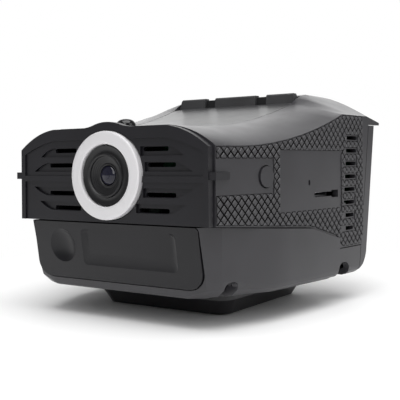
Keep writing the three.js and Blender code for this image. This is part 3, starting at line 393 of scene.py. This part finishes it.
def wall_reach(y, start, step):
    """The last height that is still wall, going up or down from start."""
    z = start
    while is_wall(y, z + step):
        z += step
    return z


grip_front, grip_rear = 2.9, 80.5
station_steps = 40
stride = (grip_rear - grip_front) / station_steps
stations = [grip_front + i * stride for i in range(station_steps + 1)]
below_crease, above_joint = 0.25, 0.35  # smooth edges left beside the grip
crease = [wall_reach(y, 50.0 if y < 66 else 57.5, 0.1) - below_crease for y in stations]
joint = [wall_reach(y, 31.2 if y < 64 else 23.2, -0.1) + above_joint for y in stations]
plug_band = (0, 27.1, 38.2, 48.4)  # front and rear, back from the face, then bottom and top
card_island = (30.3, 64.8, 32.2, 50.9)
islands = [plug_band, card_island]
vent_count, vent_top, vent_pitch, vent_y, vent_lean = 8, 55.3, 4.335, 72.5, 0.108
vent_clear_along, vent_clear_up = 4.1, 1.05
for i in range(vent_count):
    z = vent_top - vent_pitch * i
    middle = vent_y + (z - vent_top) * vent_lean
    rear, front = middle - vent_clear_along, middle + vent_clear_along
    islands.append((rear, front, z - vent_clear_up, z + vent_clear_up))
print("crease from", round(crease[0], 1), "to", round(crease[-1], 1), "mm")
print("joint from", round(joint[0], 1), "to", round(joint[-1], 1), "mm")


# %% [markdown]
# The rows run right up to every border, and the mould cuts the outer diamonds there. So each diamond
# is a flat polygon first, clipped by the borders near it, and slivers are dropped. What is left is
# raised off the wall in rings, following its curve: the groove's lozenge of painted shade a hair
# proud, the diamond about a third of a millimetre.

# %% Cut diamonds, and raise them
def cut(shape, keep):
    """Clips a convex polygon, keeping the side where keep(point) is above 0."""
    out = []
    for i, point in enumerate(shape):
        before = shape[i - 1]
        here, there = keep(point), keep(before)
        if (here > 0) != (there > 0):
            share = there / (there - here)
            out.append(before.lerp(point, share))
        if here > 0:
            out.append(point)
    return out


def level(line, y):
    """Height of one of the borders at y."""
    at = min(station_steps - 0.001, max(0, (y - grip_front) / stride))
    i = int(at)
    return line[i] + (line[i + 1] - line[i]) * (at - i)


def area(shape):
    """The area of a polygon that runs anticlockwise."""
    return sum(shape[i - 1].cross(shape[i]) for i in range(len(shape))) / 2


smallest_share = 0.12  # of a whole diamond


def clipped(centre):
    """The diamond round a centre, cut by the borders and by the nearest side of each island."""
    corners = ((along / 2, 0), (0, up / 2), (-along / 2, 0), (0, -up / 2))
    shape = [centre + Vector(corner) for corner in corners]
    rules = [
        lambda p: level(crease, p.x) - p.y,
        lambda p: p.y - level(joint, p.x),
        lambda p: p.x - grip_front,
        lambda p: grip_rear - p.x,
    ]
    for start, end, bottom, top in islands:
        sides = [
            (start - centre.x, lambda p, edge=start: edge - p.x),
            (centre.x - end, lambda p, edge=end: p.x - edge),
            (bottom - centre.y, lambda p, edge=bottom: edge - p.y),
            (centre.y - top, lambda p, edge=top: p.y - edge),
        ]
        distance, rule = max(sides, key=lambda side: side[0])
        if distance < along:
            rules.append(rule)
    for rule in rules:
        shape = cut(shape, rule)
        if len(shape) < 3:
            return []
    return shape if area(shape) > smallest_share * along * up / 2 else []


def ring(bm, side, shape, scale, proud):
    """The polygon scaled about its middle and laid on the wall, proud mm off it."""
    middle = sum(shape, Vector((0, 0))) / len(shape)
    points = [middle + (p - middle) * scale for p in shape]
    return [
        bm.verts.new((side * (wall_x(p.x) + proud) * MM, (front_y + p.x) * MM, p.y * MM))
        for p in points
    ]


def raised(bm, side, shape, levels, material):
    """A closed stack of rings, from inside the wall outwards."""
    rings = [ring(bm, side, shape, scale, proud) for scale, proud in levels]
    faces = [bm.faces.new(rings[-1])]
    for below, above in zip(rings, rings[1:]):
        for i in range(len(shape)):
            faces.append(bm.faces.new((below[i - 1], below[i], above[i], above[i - 1])))
    faces.append(bm.faces.new(list(reversed(rings[0]))))
    for made in faces:
        made.material_index = material


lowest_row, row_count, column_count = 17.0, 64, 30
# the lozenge of painted shade that fills each groove
groove_shade_levels = [(1.03, -0.2), (1.03, 0.03)]  # share of the diamond, mm off the wall
diamond_levels = [(0.78, -0.2), (0.76, 0.14), (0.56, 0.36)]


def diamond_grip(side, name):
    bm = bmesh.new()
    count = 0
    for row in range(row_count):
        for column in range(column_count):
            back = grip_front + (column + 0.5 * (row % 2)) * along
            shape = clipped(Vector((back, lowest_row + row * up / 2)))
            if not shape:
                continue
            raised(bm, side, shape, groove_shade_levels, 1)
            raised(bm, side, shape, diamond_levels, 0)
            count += 1
    bmesh.ops.recalc_face_normals(bm, faces=bm.faces)
    piece = finished(name, bm, [grip_colour, groove_painted_shade], "case", weighted=False)
    print(name, "has", count, "diamonds and", len(piece.data.polygons), "faces")


diamond_grip(1, "grip_right")
diamond_grip(-1, "grip_left")

# %% [markdown]
# ## Turned pieces
# The ring, the lens barrel, the lens and the dome button are all round. Each is half a section spun
# about its axis, through the middle of the CAD node it stands for. The section is where the detail
# goes: the ring's rolled lips, the shallow steps that stop stray light in the barrel, and the lens's
# dome. It is written as radius and distance in mm, from a datum on the axis.

# %% Turned pieces
turned_crease = math.radians(35)
axis_merge = 0.001  # mm


def turned(name, node, axis, datum, section, steps, finish=None):
    """A section of (radius, distance from the datum) spun about a Y or Z axis."""
    bm = bmesh.new()
    points = [bm.verts.new((radius * MM, 0, (datum + distance) * MM)) for radius, distance in section]
    lines = [bm.edges.new(pair) for pair in zip(points, points[1:])]
    bmesh.ops.spin(
        bm, geom=points + lines, cent=(0, 0, 0), axis=(0, 0, 1), angle=math.tau, steps=steps,
        use_merge=True,
    )
    bmesh.ops.remove_doubles(bm, verts=bm.verts, dist=axis_merge * MM)
    bmesh.ops.recalc_face_normals(bm, faces=bm.faces)
    start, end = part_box(node)
    middle = (start + end) / 2
    if axis == "Y":
        matrix = Matrix.Translation((middle.x, 0, middle.z))
        matrix = matrix @ Matrix.Rotation(math.radians(-90), 4, "X")
    else:
        matrix = Matrix.Translation((middle.x, middle.y, 0))
    bmesh.ops.transform(bm, matrix=matrix, verts=bm.verts)
    for face in bm.faces:
        face.smooth = True
    for line in bm.edges:
        line.smooth = not line.is_manifold or line.calc_face_angle(0) < turned_crease
    slot = slot_of[node]
    body = nodes[node]["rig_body"]
    piece = finished(name, bm, [finish or finishes[slot]], body, [node], weighted=False)
    print(name, "->", len(piece.data.polygons), "faces")


ring_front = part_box("lens_ring")[0].y / MM
turned("silver_ring", "lens_ring", "Y", ring_front, [
    (9.2, 2.2), (9.2, 0.5), (9.32, 0.2), (9.6, 0.05), (10.2, 0), (12.3, 0), (12.75, 0.08), (13.05, 0.3),
    (13.15, 0.65), (13.15, 2.2), (9.2, 2.2),
], 128)
plate_front = ring_front + 1.2
barrel_black = moulded("barrel_black", (0.009, 0.009, 0.010), 0.36, grain=0.05, specular=0.45)
turned("stepped_barrel", "lens_barrel", "Y", plate_front, [
    (3.0, 12), (3.0, 0.75), (3.2, 0.6), (3.45, 0.6), (3.55, 0.75), (3.75, 0.8), (4.2, 0.62), (4.24, 0.52),
    (4.7, 0.34), (4.74, 0.24), (5.2, 0.06), (5.24, -0.04), (5.7, -0.24), (5.8, -0.7), (6.15, -1.0),
    (6.5, -0.95), (6.65, -0.7), (6.75, -0.2), (7.2, -0.05), (8.1, -0.25), (8.6, -0.45), (8.75, -0.5),
    (8.9, -0.35), (8.9, 1.3), (12.75, 1.3), (12.75, 2.4), (6.2, 2.4), (6.2, 12), (3.0, 12),
], 128, barrel_black)
turned("domed_lens", "lens_glass", "Y", plate_front, [
    (0, -0.25), (0.6, -0.2), (1.1, -0.07), (1.15, 0.05), (1.7, 0.14), (2.1, 0.3), (2.5, 0.52), (2.75, 0.75),
    (2.8, 1), (2.8, 6.5), (0, 6.5),
], 64)
button_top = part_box("top_button")[1].z / MM
turned("dome_button", "top_button", "Z", button_top, [
    (0, -6.4), (1.5, -6.4), (1.5, -5.6), (4, -5.6), (4, -4.6), (3, -4.6), (3, -1.9), (2.9, -1.4),
    (2.6, -0.85), (2.1, -0.42), (1.4, -0.14), (0.7, -0.02), (0, 0),
], 64)

# %% [markdown]
# ## Webs between the rim's three parts
# The raised rim at the head of the top panel is cut twice. Behind each cut a small web joins the
# parts, set back and a little lower, so no daylight shows through. It is a bevelled wedge, thicker at
# its foot. Its near-black inner finish, darker than the case's plastic, is painted shade for the
# hollow behind the cut.

# %% Rim webs
web_size = Vector((5.8, 2.2, 3.4))  # mm
web_foot = 1.5  # how much thicker its foot is
web_bevel = 0.3
web_x, web_y = 11.1, 75.2  # out from the middle, and back from the face
web_top = high.z / MM - 0.6
for side, name in [(-1, "rim_web_left"), (1, "rim_web_right")]:
    bm = bmesh.new()
    bmesh.ops.create_cube(bm, size=1)
    bmesh.ops.scale(bm, vec=web_size * MM, verts=bm.verts)
    for vert in bm.verts:
        if vert.co.z < 0:
            vert.co.y *= web_foot
    bmesh.ops.bevel(
        bm, geom=list(bm.edges), offset=web_bevel * MM, offset_type="OFFSET", segments=2, profile=0.5,
        affect="EDGES", clamp_overlap=True, material=-1,
    )
    middle = Vector((side * web_x, front_y + web_y, web_top - web_size.z / 2))
    bmesh.ops.translate(bm, vec=middle * MM, verts=bm.verts)
    for face in bm.faces:
        face.smooth = True
    # painted shade: the web wears the near-black inner finish so the hollow behind the cut reads dark
    finished(name, bm, [finishes["inner_black"]], "case")
    print(name, "at", [round(v, 1) for v in middle], "mm")
